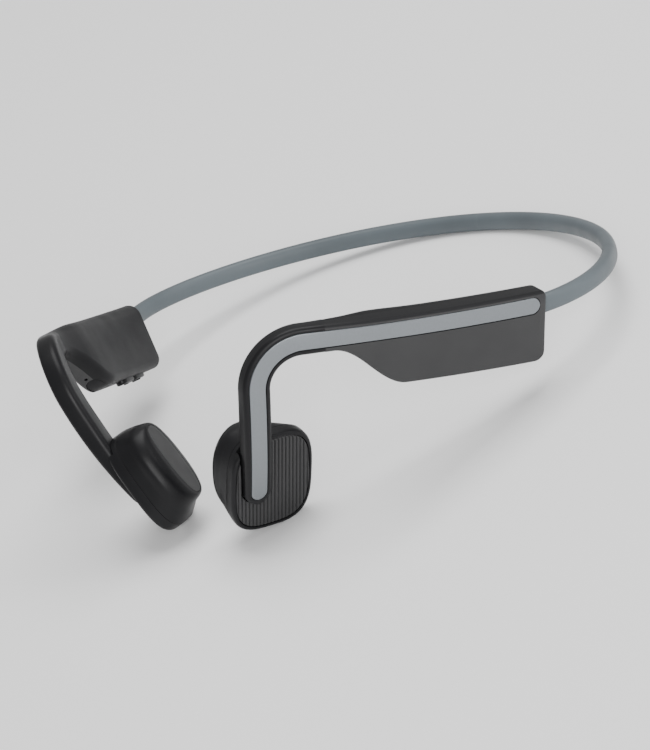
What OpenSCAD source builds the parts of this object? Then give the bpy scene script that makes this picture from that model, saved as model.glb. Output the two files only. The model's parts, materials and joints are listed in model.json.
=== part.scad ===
/* [Side spine] */
// Distance from the middle plane to the spine of each pod at its rear end
spine_x = 68.5; // [67:0.5:70]
// Height of the spine above the table at the pod's rear end
spine_z = 20; // [19.9:0.1:20.1]
// Angle that each pod turns in towards the face
toe_in = 21.7; // [20:0.1:23]
// Angle that each pod rises towards the front
pod_rise = 24.5; // [24:0.1:25]
// Angle that each pod's lower edge leans towards the neck
pod_lean = 7.2; // [6:0.1:8]

/* [Pods] */
// Length of the pod's straight part
pod_len = 45; // [44:0.5:46]
// Height of the pod above the spine
pod_above = 3.2; // [3.2:0.1:3.5]
// Depth of the pod below the spine
pod_below = 14.1; // [13.8:0.1:14.3]
// Thickness of the pod, from its outer face to its head side
pod_thick = 7.6; // [7.4:0.1:8]
// Wall thickness of the pod shells
shell_wall = 1.1; // [0.9:0.1:1.2]

/* [Ear hooks] */
// Width of the hook
hook_w = 6.8; // [6.6:0.1:7]
// Thickness of the hook where it leaves the pod
hook_thick = 5; // [4.8:0.1:5.2]
// Thickness of the hook on the transducer
tip_thick = 3.8; // [3.6:0.1:4]
// Width of the trim strip
strip_w = 4; // [3.6:0.1:4.2]
// Thickness of the trim strip
strip_thick = 0.6; // [0.5:0.1:0.7]
// Diameter of the wire in the hook
hook_wire_d = 1; // [0.8:0.1:1.1]

/* [Transducers] */
// Height of the transducer's rim
rim_h = 26; // [25.8:0.1:26.4]
// Width of the transducer's rim
rim_w = 21.3; // [21:0.1:21.6]
// Depth from the rim plane to the contact pad's face
driver_depth = 11.3; // [11:0.1:11.6]
// Height of the contact pad
pad_h = 19.4; // [19:0.2:19.8]
// Width of the contact pad
pad_w = 8.3; // [8:0.1:8.6]
// Distance between two ribs of the outer face
rib_pitch = 0.95; // [0.9:0.05:1.1]

/* [Neckband] */
// Distance from the band's ends back to its rearmost point, along the band
band_reach = 67.3; // [66:0.1:68]
// Thickness of the band, from the neck outwards
band_w = 3.6; // [3.5:0.1:3.7]
// Height of the band's section
band_h = 4.4; // [4.3:0.1:4.5]
// Angle that the band flares outwards as it leaves each pod
band_flare = 47; // [46:0.5:48]
// Diameter of the memory wire in the band
core_wire_d = 1.3; // [1.1:0.1:1.4]

/* [Controls] */
// Travel of the multifunction button
button_travel = 0.35; // [0.2:0.05:0.4]
// Travel of each volume key
key_travel = 0.4; // [0.3:0.05:0.5]
// Length of each volume key
key_len = 7.3; // [7:0.1:7.4]
// Width of each volume key
key_w = 3; // [2.8:0.1:3.2]

/* [Hidden] */

charcoal = "#4a4a4b";
soft_black = "#39393b";
strip_grey = "#9aa1a6";
band_grey = "#6a757c";
pad_grey = "#55575a";
steel = "#b8bbc0";
copper = "#b9713a";
board_green = "#1f4a35";

// ---- Spine: a frame [point, forward, outward, up] that is carried along each side ----

// One row per stretch of the spine: length, turn down, bend in, twist, all over the stretch
STRETCHES = [
    [pod_len, 0, 7.7, 6.9],
    [16, 6.2, 14.6, -7.5],
    [17.5, 88.8, -6.6, 17.8],
    [30.5, 3.6, 15.6, 3.3]
];
stretch_ends = [for (i = 0, e = STRETCHES[0][0]; i < 4; i = i + 1, e = e + (i < 4 ? STRETCHES[i][0] : 0)) e];
tip_s = stretch_ends[3];
spine_step = 0.5;
step_count = ceil(tip_s / spine_step);

function turned(f, a, b, c) =
    let (t1 = f[1] * cos(a) - f[3] * sin(a), b1 = f[3] * cos(a) + f[1] * sin(a))
    let (t2 = t1 * cos(b) - f[2] * sin(b), n2 = f[2] * cos(b) + t1 * sin(b))
    [f[0], t2, n2 * cos(c) - b1 * sin(c), b1 * cos(c) + n2 * sin(c)];
function moved(f, d) = [f[0] + f[1] * d, f[1], f[2], f[3]];
function stretch_at(s) = [for (i = [0:3]) if (s < stretch_ends[i] || i == 3) STRETCHES[i]][0];
function stepped(f, s) =
    let (g = stretch_at(s + spine_step / 2), k = spine_step / g[0] / 2)
    turned(moved(turned(f, g[1] * k, g[2] * k, g[3] * k), spine_step), g[1] * k, g[2] * k, g[3] * k);

// Where the spine starts along Y, so that the whole headset is centred over the origin
spine_y = -0.04;
spine_start =
    let (t = [-sin(toe_in) * cos(pod_rise), -cos(toe_in) * cos(pod_rise), sin(pod_rise)])
    let (n = [cos(toe_in), -sin(toe_in), 0], b = cross(t, n))
    let (n1 = n * cos(pod_lean) - b * sin(pod_lean), b1 = b * cos(pod_lean) + n * sin(pod_lean))
    [[spine_x, spine_y, spine_z], t, n1, b1];
SPINE = [for (i = 0, f = spine_start; i <= step_count; f = stepped(f, i * spine_step), i = i + 1) f];

function spine(s) =
    s <= 0 ? moved(SPINE[0], s) :
    s >= step_count * spine_step ? moved(SPINE[step_count], s - step_count * spine_step) :
    let (i = floor(s / spine_step)) moved(SPINE[i], s - i * spine_step);
function on_spine(f, h, n) = f[0] + f[3] * h + f[2] * n;

// ---- Shared helpers ----

function mix(a, b, t) = a + (b - a) * t;
function smooth(a, b, x) = let (t = min(max((x - a) / (b - a), 0), 1)) t * t * (3 - 2 * t);
function reversed(v) = [for (i = [len(v) - 1:-1:0]) v[i]];
function span(a, b, k) = [for (i = [0:k]) mix(a, b, i / k)];
// How much an edge of radius r has drawn in at distance d from the end of the part
function drawn_in(d, r) = d >= r ? 0 : r - sqrt(r * r - (r - d) * (r - d));
function arc(h, n, r, a) = [for (i = [0:3]) [h + r * cos(a + 30 * i), n + r * sin(a + 30 * i)]];

// A solid skinned over rings with the same number of points each, capped at both ends or joined up
module loft(rings, joined = false) {
    m = len(rings);
    n = len(rings[0]);
    sides = [for (k = [0:m - (joined ? 1 : 2)], i = [0:n - 1])
        let (a = k * n + i, b = k * n + (i + 1) % n, c = (a + n) % (m * n), d = (b + n) % (m * n))
        each [[a, b, c], [b, d, c]]];
    caps = joined ? [] : [[for (i = [0:n - 1]) n - 1 - i], [for (i = [0:n - 1]) (m - 1) * n + i]];
    polyhedron(points = [for (r = rings) each r], faces = concat(sides, caps));
}

// Places its children with their x, y and z axes along the three given directions
module placed(o, x, y, z) {
    multmatrix([[x[0], y[0], z[0], o[0]], [x[1], y[1], z[1], o[1]], [x[2], y[2], z[2], o[2]]]) children();
}
module right_side() {
    mirror([1, 0, 0]) children();
}
module slab(l, w, t) {
    translate([-l / 2, -w / 2, 0]) cube([l, w, t]);
}
// A plate with two round ends, l long over all
module lozenge(l, w, t) {
    linear_extrude(t) {
        square([l - w, w], center = true);
        for (e = [-1, 1]) translate([e * (l - w) / 2, 0]) circle(d = w, $fn = 32);
    }
}

// ---- Pod and hook outline along the spine ----

rear_s = -0.6;
shell_end_s = 56;
cavity_end_s = 50;
function above(s) = mix(pod_above, hook_w / 2, smooth(pod_len - 4, 57, s)) - drawn_in(s - rear_s, 1.3);
function below(s) = mix(pod_below, hook_w / 2, smooth(35, 54, s)) - drawn_in(s - rear_s, 2.6);
function thick(s) =
    mix(mix(pod_thick, hook_thick, smooth(40, 60, s)), tip_thick, smooth(86, tip_s, s));
function face_n(s) = -drawn_in(s - rear_s, 0.7);
function back_top_r(s) = mix(3.2, 2.3, smooth(30, 54, s)) * min(thick(s) / 6, 1);
function back_n(s) = -thick(s) + drawn_in(s - rear_s, 1.1);
function part_n(s) = -thick(s) / 2;

// The trim strip and the groove that it lies in, with round ends
strip_start_s = 1.3;
strip_end_s = tip_s;
groove_gap = 0.12;
groove_start_s = strip_start_s - groove_gap;
function strip_half(s, gap) =
    let (r = strip_w / 2 + gap, d = min(s - strip_start_s, strip_end_s - s) + gap)
    d >= r ? r : sqrt(max(r * r - (r - d) * (r - d), 0.01));
function groove_depth(s) = s < groove_start_s - 0.005 || s > strip_end_s + groove_gap ? 0 : strip_thick;
function groove_path(s, face) =
    let (r = strip_half(s, groove_gap), d = groove_depth(s))
    [[r, face], [r, face - d], [-r, face - d], [-r, face]];
// The outer half of the pod's section, grooved or not, and drawn in by w
function front_path(s, w, grooved = false) =
    let (top = above(s) - w, bot = w - below(s), face = face_n(s) - w)
    let (rt = max(1 - w, 0.3), rb = max(0.9 - w, 0.3))
    concat([[top, part_n(s)]], arc(top - rt, face - rt, rt, 0), grooved ? groove_path(s, face) : [],
        arc(bot + rb, face - rb, rb, 90), [[bot, part_n(s)]]);
function back_path(s, w) =
    let (top = above(s) - w, bot = w - below(s), back = back_n(s) + w)
    let (rt = max(back_top_r(s) - w, 0.3), rb = max(1.8 - w, 0.3) * min(thick(s) / 6, 1))
    concat([[bot, part_n(s)]], arc(bot + rb, back + rb, rb, 180), arc(top - rt, back + rt, rt, 270),
        [[top, part_n(s)]]);
// The path pressed flat onto the parting plane, where the shell is solid
function pressed(path, s, hollow) = [for (q = path) [q[0], part_n(s) + (q[1] - part_n(s)) * hollow]];
function ring(s, path) = let (f = spine(s)) [for (q = path) on_spine(f, q[0], q[1])];

SHELL_STATIONS = concat(
    [[rear_s, 0], [rear_s + 0.3, 0], [rear_s + 0.8, 0], [0.5, 0], [0.6, 1]],
    [for (s = [-0.01, 0, 0.1, 0.4, 1.1, 2.2]) [groove_start_s + s, 1]],
    [for (s = [10, 18, 26, 34, 37, 40, 43, 46, 48, cavity_end_s]) [s, 1]],
    [[cavity_end_s + 0.1, 0], [53, 0], [shell_end_s, 0]]);

module outer_shell_blank() {
    loft([for (q = SHELL_STATIONS) let (s = q[0])
        ring(s, concat(front_path(s, 0, true), reversed(pressed(front_path(s, shell_wall), s, q[1]))))]);
}
module inner_shell_blank() {
    loft([for (q = SHELL_STATIONS) let (s = q[0])
        ring(s, concat(back_path(s, 0), reversed(pressed(back_path(s, shell_wall), s, q[1]))))]);
}

// ---- Frames that the other pieces sit in: x points back, y up, z out, on the left side ----

// The middle of the pod's thickness, at s along the spine
module in_pod(s) {
    f = spine(s);
    placed(on_spine(f, 0, part_n(s)), -f[1], f[3], f[2]) children();
}
// The pod's lower edge, with z pointing out of the pod and y outwards
module on_underside(s, slope = 0) {
    f = spine(s);
    down = -f[3] * cos(slope) + f[1] * sin(slope);
    back = -f[1] * cos(slope) - f[3] * sin(slope);
    placed(on_spine(f, -below(s), part_n(s)), back, f[2], down) children();
}

driver_centre = [20.38, -56.76, 12.74];
driver_turn = 30.3;
driver_tilt = 17;
driver_roll = 16.4;
driver_z = [cos(driver_turn) * cos(driver_tilt), -sin(driver_turn) * cos(driver_tilt), -sin(driver_tilt)];
level_x = [sin(driver_turn), cos(driver_turn), 0];
level_y = cross(driver_z, level_x);
driver_x = level_x * cos(driver_roll) - level_y * sin(driver_roll);
driver_y = level_y * cos(driver_roll) + level_x * sin(driver_roll);
module in_driver() {
    placed(driver_centre, driver_x, driver_y, driver_z) children();
}

// ---- Ear hook, trim strip, wire and lead ----

hook_start_s = shell_end_s;
hook_end_s = tip_s + 1.6;
bore_end_s = 104;
bore_r = 1.25;
bore_n = -2.5;
hook_lead_d = 0.9;
// Half the hook's width, drawn in round at the tip
function hook_half(s) =
    let (d = hook_end_s - s, r = hook_w / 2)
    d >= r ? r : sqrt(max(r * r - (r - d) * (r - d), 0.04));
function hook_path(s) =
    let (r = hook_half(s), t = thick(s), rf = min(1.1, r / 2), rb = min(2, r / 2) * t / 5)
    concat([[r, -t / 2]], arc(r - rf, -rf, rf, 0), groove_path(s, 0), arc(rf - r, -rf, rf, 90),
        [[-r, -t / 2]], arc(rb - r, rb - t, rb, 180), arc(r - rb, rb - t, rb, 270));
function bore_path(r, n) = [for (i = [0:21]) let (a = i * 360 / 22) [r * cos(a), n + r * sin(a)]];
HOOK_STATIONS = concat(span(hook_start_s, 61, 3), span(62.5, 77, 11), span(80, 105, 9),
    [for (d = [-2.1, -1.2, -0.4, 0.1, 0.15]) tip_s + d], [for (d = [0.8, 0.3, 0]) hook_end_s - d]);
BORE_STATIONS = concat(span(hook_start_s, 61, 1), span(63, 78, 7), span(83, bore_end_s, 4));

STRIP_STATIONS = concat([for (d = [0, 0.4, 1, 2]) strip_start_s + d], span(9, 60, 8), span(62, 78, 12),
    span(82, 105, 7), [for (d = [2, 1, 0.4, 0]) strip_end_s - d]);
strip_proud = 0.05;
function cord_n(s) = mix(part_n(s), bore_n, smooth(48, 56, s));
module hook_cord(r, h) {
    loft([for (s = concat(span(46, 61, 4), span(63, 78, 9), span(82, bore_end_s - 0.5, 5)))
        ring(s, [for (i = [0:7]) [h + r * cos(45 * i), cord_n(s) + r * sin(45 * i)]])]);
}

module ear_hook() color(soft_black) loft(concat(
    [for (s = reversed(BORE_STATIONS)) ring(s, bore_path(bore_r, bore_n))],
    [for (s = HOOK_STATIONS) ring(s, hook_path(s))]));
module trim_strip() color(strip_grey) loft([for (s = STRIP_STATIONS) let (r = strip_half(s, 0))
    ring(s, [[r, -strip_thick], [r, strip_proud - 0.1], [r * 0.9, strip_proud], [-r * 0.9, strip_proud],
        [-r, strip_proud - 0.1], [-r, -strip_thick]])]);
module hook_wire() color(steel) hook_cord(hook_wire_d / 2, 0.6);
module hook_lead() color(copper) hook_cord(hook_lead_d / 2, -0.65);

// ---- Pod shells ----

key_s = [11.5, 19.2];
port_s = 35.4;
port_n = 0.9;
port_slope = 8;
port_len = 9.3;
port_w = 3.5;
cover_len = 11.2;
cover_w = 4;
cover_gap = 0.15;
light_s = 26.5;
mic_s = 42;
mic_slope = 33;
mic_n = 1.3;
socket_gap = 0.4;

// The band's end, with y up across the band and z pointing out along it
module at_band_end() {
    placed(band_start, cross(band_up, band_dir), band_up, band_dir) children();
}
module band_socket() {
    half_w = band_w / 2 + socket_gap;
    half_h = band_h / 2 + socket_gap;
    at_band_end() translate([0, 0, -1]) linear_extrude(12)
        polygon([for (a = [15:30:345]) [half_w * cos(a), half_h * sin(a)]]);
}
passage_r = 1.7;
module lead_passage() {
    in_pod(cavity_end_s - 1) rotate([0, -90, 0]) rotate([0, 0, 11]) cylinder(r = passage_r, h = 9, $fn = 8);
}
module outer_shell() color(charcoal) difference() {
    outer_shell_blank();
    band_socket();
    lead_passage();
    children();
}
module inner_shell() color(soft_black) difference() {
    inner_shell_blank();
    band_socket();
    lead_passage();
    children();
}
// A round-ended flap that follows the pod's lower edge, from low to high out of it
module flap(gap, low, high) {
    r = cover_w / 2 + gap;
    half = cover_len / 2 + gap;
    loft([for (i = [0:16]) let (x = -half * cos(180 * i / 16), s = port_s + x, d = half - abs(x))
        let (w = d >= r ? r : sqrt(max(r * r - (r - d) * (r - d), 0.04)), n = part_n(s) + port_n)
        let (a = -below(s) - low, b = -below(s) - high)
        ring(s, [[a, n - w], [a, n + w], [b, n + w], [b, n - w]])]);
}
module right_pod_cuts() {
    for (s = key_s) on_underside(s) translate([0, 0, -2.5]) lozenge(key_len + 0.3, key_w + 0.3, 4);
    on_underside(port_s, port_slope) translate([0, port_n, -4]) lozenge(port_len, port_w, 6);
    flap(cover_gap, -1.1, 3);
    on_underside(light_s) translate([0, 0, -3]) cylinder(d = 1.3, h = 4, $fn = 32);
    on_underside(mic_s, mic_slope) translate([0, mic_n, -3]) cylinder(d = 0.9, h = 5, $fn = 32);
}

// ---- Transducers ----

function oval(half_x, half_y, x, y, z, k = 2.6, turn = 0) = [for (i = [0:39])
    let (c = cos(9 * i), s = -sin(9 * i))
    let (a = half_x * sign(c) * pow(abs(c), 2 / k), b = half_y * sign(s) * pow(abs(s), 2 / k))
    [x + a * cos(turn) - b * sin(turn), y + b * cos(turn) + a * sin(turn), z]];
function flat(ring) = [for (q = ring) [q[0], q[1]]];

// How far the rim's outline is turned from the direction of the ribs
outline_turn = -4;
function rim_oval(inset, z) = oval(rim_w / 2 - inset, rim_h / 2 - inset, 0, 0, z, 3.2, outline_turn);

rim_lip = 1;
split_z = -3.2;
pad_thick = 1;
pad_z = -driver_depth;
pad_x = -2.75;
pad_y = 0.9;
// The housing's shoulder, where its side turns in towards the contact pad
shoulder_z = -8.6;
shoulder_x = 8.4;
shoulder_y = 11.25;
housing_wall = 1.1;
function shoulder(inset, z) = oval(shoulder_x - inset, shoulder_y - inset, pad_x, pad_y, z, 2.3);

module driver_rim() color(soft_black) in_driver() difference() {
    loft([
        rim_oval(0.15, split_z),
        rim_oval(0, -2.2),
        rim_oval(0, -1.1),
        rim_oval(0.3, -0.35),
        rim_oval(0.7, -0.05),
        rim_oval(rim_lip, -0.1),
        rim_oval(rim_lip, split_z)
    ], joined = true);
    hook_slot(hook_back_z);
}
module driver_housing() color(soft_black) in_driver() loft([
    oval(pad_w / 2 + 0.1, pad_h / 2 + 0.1, pad_x, pad_y, pad_z + pad_thick),
    oval(pad_w / 2 + 0.1, pad_h / 2 + 0.1, pad_x, pad_y, pad_z + 0.15),
    shoulder(1.2, pad_z + 1),
    shoulder(0, shoulder_z),
    rim_oval(0.1, split_z),
    rim_oval(0.1 + housing_wall, split_z),
    shoulder(housing_wall, shoulder_z),
    shoulder(2.6, pad_z + pad_thick + 0.9)
]);
module contact_pad() color(pad_grey) in_driver() translate([0, 0, pad_z]) linear_extrude(pad_thick)
    polygon(flat(oval(pad_w / 2, pad_h / 2, pad_x, pad_y, 0)));

// The hook's bed: where it lies across the rim and the ribbed face
hook_bed_x = -4.6;
hook_bed_y = -4;
hook_gap = 0.2;
hook_back_z = -1.9;
module hook_slot(floor_z) {
    r = hook_w / 2 + hook_gap;
    translate([hook_bed_x, hook_bed_y + r, floor_z]) {
        cylinder(r = r, h = 6, $fn = 48);
        translate([-r, 0, 0]) cube([2 * r, 30, 6]);
    }
}

frame_top_z = -1.8;
switch_x = 4;
module cover_frame() color(soft_black) in_driver() translate([0, 0, split_z]) difference() {
    linear_extrude(frame_top_z - split_z)
        polygon(flat(rim_oval(rim_lip + 0.1, 0)));
    translate([switch_x, 0, -1]) slab(3.4, 3.4, 4);
}
plate_gap = 0.12;
plate_z = frame_top_z + button_travel + 0.15;
face_z = -0.3;
rib_r = rib_pitch * 0.4;
rib_turn = -2.4;
// The ribbed outer face, from its back at low to the foot of the ribs
module ribbed_plate(low) {
    difference() {
        union() {
            translate([0, 0, low]) linear_extrude(face_z - low)
                polygon(flat(rim_oval(rim_lip + plate_gap, 0)));
            intersection() {
                rotate([0, 0, rib_turn]) for (i = [-11:11]) translate([i * rib_pitch, 0, face_z])
                    rotate([90, 0, 0]) cylinder(r = rib_r, h = rim_h + 2, center = true, $fn = 24);
                translate([0, 0, low]) linear_extrude(3)
                    polygon(flat(rim_oval(rim_lip + plate_gap + 0.3, 0)));
            }
        }
        hook_slot(low - 1);
    }
}

driver_axis_x = -2.6;
driver_axis_y = 0.8;
module driver_part(z) in_driver() translate([driver_axis_x, driver_axis_y, z]) children();
spring_z = -3.55;
module spring_plate() color(steel) in_driver() translate([0, 0, spring_z]) difference() {
    linear_extrude(0.25) polygon(flat(rim_oval(1.7, 0)));
    for (x = [-5, 5], y = [-6, 6]) translate([x, y, -1]) cylinder(r = 2.4, h = 3, $fn = 32);
}
yoke_z = -7.4;
yoke_h = 3.15;
module yoke() color(steel) driver_part(yoke_z) {
    difference() {
        cylinder(r = 5.2, h = yoke_h, $fn = 64);
        translate([0, 0, -1]) cylinder(r = 4.6, h = 3.2, $fn = 64);
    }
    translate([0, 0, yoke_h - 0.1]) cylinder(r = 1.6, h = spring_z - yoke_z - yoke_h + 0.05, $fn = 32);
}
module magnet() color("#8d9096") driver_part(-7.3) cylinder(r = 2.8, h = 2.1, $fn = 48);
module voice_coil() color(copper) driver_part(-9.4) difference() {
    union() {
        cylinder(r = 3.6, h = 3.6, $fn = 64);
        translate([0, 0, 0.3]) cylinder(r = 4.2, h = 3.3, $fn = 64);
    }
    translate([0, 0, -1]) cylinder(r = 3.3, h = 6, $fn = 64);
}

module multifunction_button() color(charcoal) in_driver() ribbed_plate(plate_z);
module ribbed_cover() color(charcoal) in_driver() ribbed_plate(frame_top_z);
module button_switch() color(steel) in_driver() translate([switch_x, 0, split_z]) {
    slab(3.2, 3.2, 0.9);
    cylinder(d = 1.6, h = plate_z - split_z - button_travel - 0.05, $fn = 32);
}

// ---- Inside the pods ----

cell_size = [28, 11.5, 3.8];
cell_y = -10.5;
module battery_cell() color("#aeb3b8") in_pod(22)
    translate([-cell_size[0] / 2, cell_y, -cell_size[2] / 2]) cube(cell_size);
module wire_anchor() color(steel) at_band_end() translate([0, 0, -1.5]) linear_extrude(1.2) difference() {
    square([2, 3.6], center = true);
    translate([0, -wire_offset]) circle(d = core_wire_d + 0.1, $fn = 32);
    translate([0, wire_offset]) circle(d = lead_d + 0.1, $fn = 32);
}
board_l = 24;
board_w = 12;
board_t = 0.6;
module board_place() in_pod(18) translate([0, -4.9, -1.9]) children();
module main_board() color(board_green) right_side() board_place() slab(board_l, board_w, board_t);
module bluetooth_chip() color("#2a2a2c") right_side() board_place()
    translate([-4, 0, board_t]) slab(6, 6, 0.9);
module antenna() color("#d8d2c0") right_side() board_place()
    translate([8, 4, board_t]) slab(7, 2, 1.2);
// How far the mouth of the USB-C port lies below the pod's lower edge
port_sink = 2.1;
port_depth = 7.2;
module port_place(z) right_side() on_underside(port_s, port_slope) translate([0, port_n, z]) children();
module usb_c_port() color(steel) port_place(-port_sink - port_depth) difference() {
    lozenge(9, 3.2, port_depth);
    translate([0, 0, 1]) lozenge(8.3, 2.5, port_depth);
}
module port_cover() color(soft_black) {
    right_side() flap(0, -1, -0.05);
    port_place(-port_sink - 0.8) translate([0.3, 0, 0]) lozenge(7.4, 2.2, 2);
}
key_proud = 1;
module volume_key(s, plus) color("#1b1b1d") right_side() on_underside(s) {
    translate([0, 0, -1.4]) lozenge(key_len, key_w, key_proud + 1.4);
    translate([0, 0, -2.2]) slab(2, 1.6, 1);
    translate([0, 0, key_proud - 0.1]) slab(2.4, 0.5, 0.4);
    if (plus) translate([0, 0, key_proud - 0.1]) slab(0.5, 2.2, 0.4);
}
module volume_switch(s) color(steel) right_side() on_underside(s) translate([0, 0, -4.2]) {
    slab(3, 2.4, 1.2);
    cylinder(d = 1.2, h = 1.55, $fn = 32);
}
module microphone() color("#c9b37a") right_side() on_underside(mic_s, mic_slope)
    translate([0, mic_n - 0.2, -2.3]) cylinder(d = 2.2, h = 0.9, $fn = 32);
module status_light() color("#e8ecef") right_side() on_underside(light_s) translate([0, 0, -2])
    cylinder(d = 1.2, h = 1.95, $fn = 32);

// ---- Neckband: a flat curve from one pod round the neck to the other ----

band_root = spine(0);
band_start = on_spine(band_root, -2.3, -4.8) + band_root[1] * 2.2;
// Height of the band's centre at the rear, where its underside rests on the table
band_rest_z = band_h * 0.493;
band_slope = asin((band_start[2] - band_rest_z) / band_reach);
band_back = [0, cos(band_slope), -sin(band_slope)];
band_up = [0, sin(band_slope), cos(band_slope)];
band_dir = [sin(band_flare), 0, 0] + band_back * cos(band_flare);
side_pull = 28.5;
rear_pull = 52;
// A cubic curve from the pod, out and back to the rearmost point
function band_point(t) =
    let (a = [band_start[0], 0], d = [0, band_reach])
    let (b = a + side_pull * [sin(band_flare), cos(band_flare)], c = d + [rear_pull, 0])
    let (q = a * pow(1 - t, 3) + b * 3 * t * pow(1 - t, 2) + c * 3 * t * t * (1 - t) + d * pow(t, 3))
    [0, band_start[1], band_start[2]] + [q[0], 0, 0] + band_back * q[1];
function band_route(u) = u <= 1 ? band_point(u) : let (p = band_point(2 - u)) [-p[0], p[1], p[2]];
band_steps = 24;
function band_ring(i, half_w, half_h, h, k) =
    let (u = i / band_steps, e = 0.001)
    let (d = band_route(min(u + e, 2)) - band_route(max(u - e, 0)), fwd = d / norm(d))
    let (out = cross(fwd, band_up))
    [for (j = [0:11]) let (c = cos(30 * j), s = sin(30 * j))
        let (a = half_w * sign(c) * pow(abs(c), k), b = half_h * sign(s) * pow(abs(s), k))
        band_route(u) + out * a + band_up * (h + b)];

wire_offset = 0.65;
lead_d = 0.9;
module neckband_sleeve() color(band_grey) loft(concat(
    [for (i = [0:2 * band_steps]) band_ring(i, band_w / 2, band_h / 2, 0, 0.8)],
    [for (i = [2 * band_steps:-1:0]) band_ring(i, 1, 1.4, 0, 1)]), joined = true);
module band_inlay(r, h) {
    tail = 2;
    first = band_ring(0, r, r, h, 1);
    last = band_ring(2 * band_steps, r, r, h, 1);
    tail_dir = [-band_dir[0], band_dir[1], band_dir[2]];
    loft(concat([[for (q = first) q - band_dir * tail]],
        [for (i = [0:2 * band_steps]) band_ring(i, r, r, h, 1)],
        [[for (q = last) q - tail_dir * tail]]));
}
module neckband_core_wire() color(steel) band_inlay(core_wire_d / 2, -wire_offset);
module neckband_lead() color(copper) band_inlay(lead_d / 2, wire_offset);

neckband_sleeve();
neckband_core_wire();
neckband_lead();
outer_shell();  // left_pod_outer_shell
inner_shell();  // left_pod_inner_shell
wire_anchor();  // left_wire_anchor
ear_hook();  // left_ear_hook
trim_strip();  // left_trim_strip
hook_wire();  // left_hook_wire
hook_lead();  // left_hook_lead
driver_rim();  // left_driver_rim
driver_housing();  // left_driver_housing
contact_pad();  // left_contact_pad
spring_plate();  // left_spring_plate
yoke();  // left_yoke
magnet();  // left_magnet
voice_coil();  // left_voice_coil
battery_cell();
cover_frame();  // button_frame
button_switch();
multifunction_button();
right_side() outer_shell() right_pod_cuts();  // right_pod_outer_shell
right_side() inner_shell() right_pod_cuts();  // right_pod_inner_shell
right_side() wire_anchor();  // right_wire_anchor
right_side() ear_hook();  // right_ear_hook
right_side() trim_strip();  // right_trim_strip
right_side() hook_wire();  // right_hook_wire
right_side() hook_lead();  // right_hook_lead
right_side() driver_rim();  // right_driver_rim
right_side() driver_housing();  // right_driver_housing
right_side() contact_pad();  // right_contact_pad
right_side() spring_plate();  // right_spring_plate
right_side() yoke();  // right_yoke
right_side() magnet();  // right_magnet
right_side() voice_coil();  // right_voice_coil
right_side() ribbed_cover();  // right_ribbed_cover
right_side() cover_frame();  // right_cover_frame
main_board();
bluetooth_chip();
antenna();
usb_c_port();
port_cover();
volume_key(key_s[0], true);  // volume_up_key
volume_key(key_s[1], false);  // volume_down_key
volume_switch(key_s[0]);  // volume_up_switch
volume_switch(key_s[1]);  // volume_down_switch
microphone();
status_light();
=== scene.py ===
"""Bone conduction headphones: the visible surfaces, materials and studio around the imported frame."""
import json
import math

import bpy
import numpy as np
from mathutils import Matrix, Vector


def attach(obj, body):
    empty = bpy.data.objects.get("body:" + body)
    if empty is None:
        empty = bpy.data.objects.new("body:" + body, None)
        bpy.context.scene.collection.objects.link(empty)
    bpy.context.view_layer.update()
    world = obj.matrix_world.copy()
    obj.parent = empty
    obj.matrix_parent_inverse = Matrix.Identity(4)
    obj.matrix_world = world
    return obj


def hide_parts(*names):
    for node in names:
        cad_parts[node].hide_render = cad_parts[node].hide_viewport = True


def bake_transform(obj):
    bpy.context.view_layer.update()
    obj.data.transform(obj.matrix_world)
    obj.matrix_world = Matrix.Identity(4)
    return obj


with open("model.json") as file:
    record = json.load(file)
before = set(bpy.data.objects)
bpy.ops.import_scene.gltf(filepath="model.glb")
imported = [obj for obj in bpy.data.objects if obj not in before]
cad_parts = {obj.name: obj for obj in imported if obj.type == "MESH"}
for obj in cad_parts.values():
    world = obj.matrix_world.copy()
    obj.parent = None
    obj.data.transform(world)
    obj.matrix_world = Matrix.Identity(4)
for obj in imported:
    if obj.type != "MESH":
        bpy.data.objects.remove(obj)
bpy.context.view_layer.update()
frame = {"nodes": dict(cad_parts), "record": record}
MM = 0.001

# ---- Driving sizes, in millimetres, as in the frame ----

SPINE_START = (68.5, -0.04, 20.0)
TOE_IN, POD_RISE, POD_LEAN = 21.7, 24.5, 7.2
# Each stretch of the spine: length, then turn down, bend in and twist in degrees over that length
STRETCHES = ((45, 0, 7.7, 6.9), (16, 6.2, 14.6, -7.5), (17.5, 88.8, -6.6, 17.8), (30.5, 3.6, 15.6, 3.3))
POD_ABOVE, POD_BELOW, POD_THICK = 3.2, 14.1, 7.6
HOOK_W, HOOK_THICK, TIP_THICK = 6.8, 5.0, 3.8
STRIP_W, STRIP_THICK, STRIP_PROUD = 4.0, 0.6, 0.05
SHELL_WALL = 1.1
REAR_S, SHELL_END_S, CAVITY_END_S = -0.6, 56.0, 50.0
STRIP_START_S, GROOVE_GAP = 1.3, 0.12
TIP_S = sum(row[0] for row in STRETCHES)
HOOK_END_S = TIP_S + 1.6
SPINE_STEP = 0.5

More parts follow.
